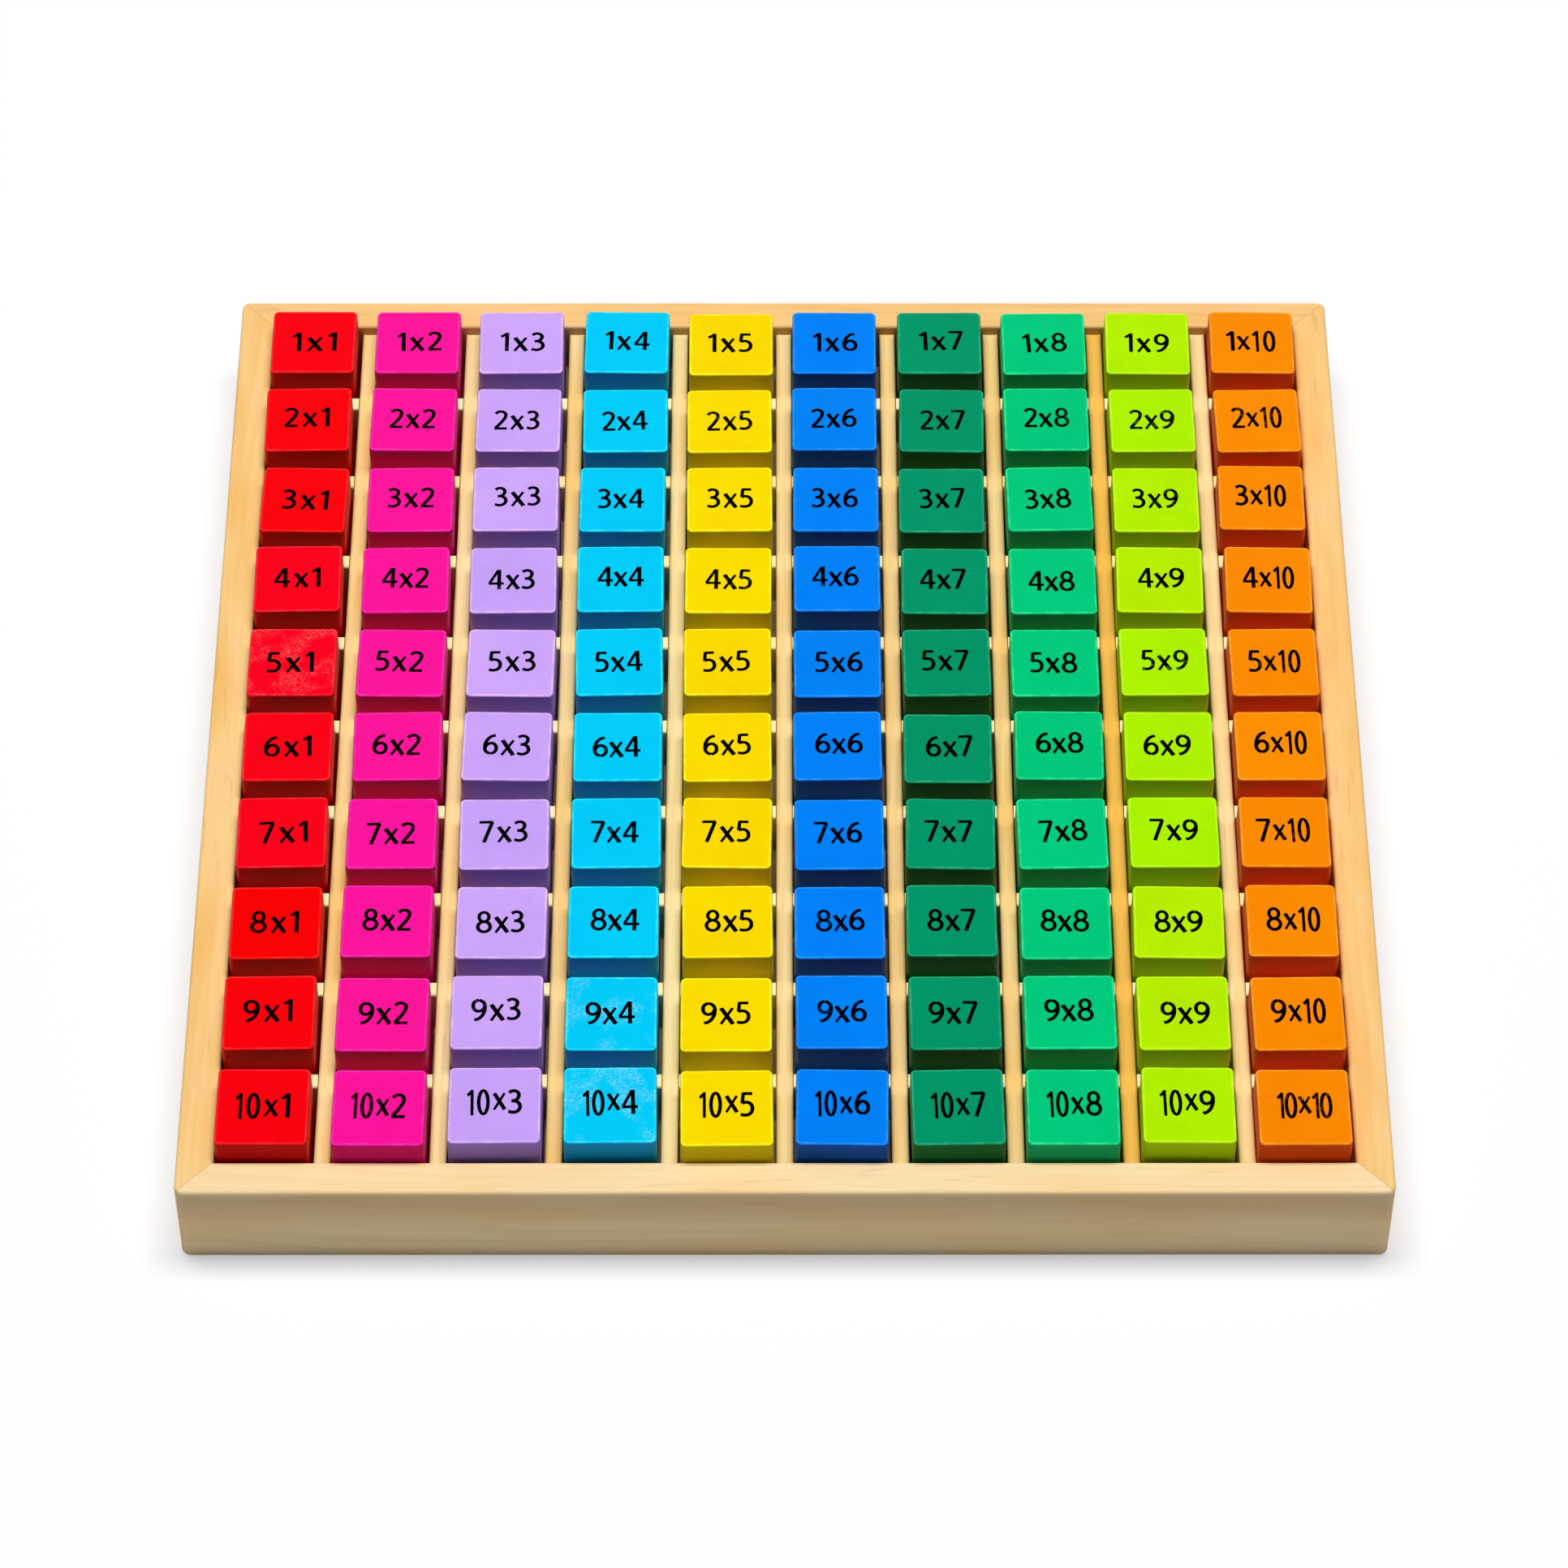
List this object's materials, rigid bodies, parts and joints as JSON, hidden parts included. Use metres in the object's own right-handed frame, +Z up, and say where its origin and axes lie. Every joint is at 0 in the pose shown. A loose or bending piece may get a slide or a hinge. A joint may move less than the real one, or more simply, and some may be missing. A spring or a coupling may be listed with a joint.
{
  "type": "wooden math board",
  "caption": "Square wooden tray with a lattice of cells, each holding a loose painted cube, for learning the times tables.",
  "frame": {"origin": "middle of the tray's underside, on the surface that it rests on", "axes": "+Z up, +Y towards the far side with the first row, +X to the right towards the last column"},
  "size_m": [0.3204, 0.3204, 0.036],
  "materials": {
    "rail_pine": "sanded pine, bare or thinly oiled",
    "slat_pine": "planed pine, bare",
    "pale_slat_pine": "planed pale pine, bare",
    "plywood": "bare thin plywood",
    "paint_red": "red satin paint on wood",
    "paint_magenta": "magenta satin paint on wood",
    "paint_lilac": "lilac satin paint on wood",
    "paint_sky": "sky satin paint on wood",
    "paint_yellow": "yellow satin paint on wood",
    "paint_blue": "blue satin paint on wood",
    "paint_dark_green": "dark green satin paint on wood",
    "paint_green": "green satin paint on wood",
    "paint_lime": "lime satin paint on wood",
    "paint_orange": "orange satin paint on wood",
    "print_ink": "matt black print on the cubes' tops"
  },
  "bodies": {
    "root": {"rail_front": "rail_pine", "rail_back": "rail_pine", "rail_left": "rail_pine", "rail_right": "rail_pine", "floor_panel": "plywood", "column_divider_1": "slat_pine", "column_divider_2": "slat_pine", "column_divider_3": "slat_pine", "column_divider_4": "slat_pine", "column_divider_5": "slat_pine", "column_divider_6": "slat_pine", "column_divider_7": "slat_pine", "column_divider_8": "slat_pine", "column_divider_9": "slat_pine", "row_divider_1": "pale_slat_pine", "row_divider_2": "pale_slat_pine", "row_divider_3": "pale_slat_pine", "row_divider_4": "pale_slat_pine", "row_divider_5": "pale_slat_pine", "row_divider_6": "pale_slat_pine", "row_divider_7": "pale_slat_pine", "row_divider_8": "pale_slat_pine", "row_divider_9": "pale_slat_pine", "blocks_red": "paint_red", "blocks_magenta": "paint_magenta", "blocks_lilac": "paint_lilac", "blocks_sky": "paint_sky", "blocks_yellow": "paint_yellow", "blocks_blue": "paint_blue", "blocks_dark_green": "paint_dark_green", "blocks_green": "paint_green", "blocks_lime": "paint_lime", "blocks_orange": "paint_orange"}
  },
  "joints": []
}
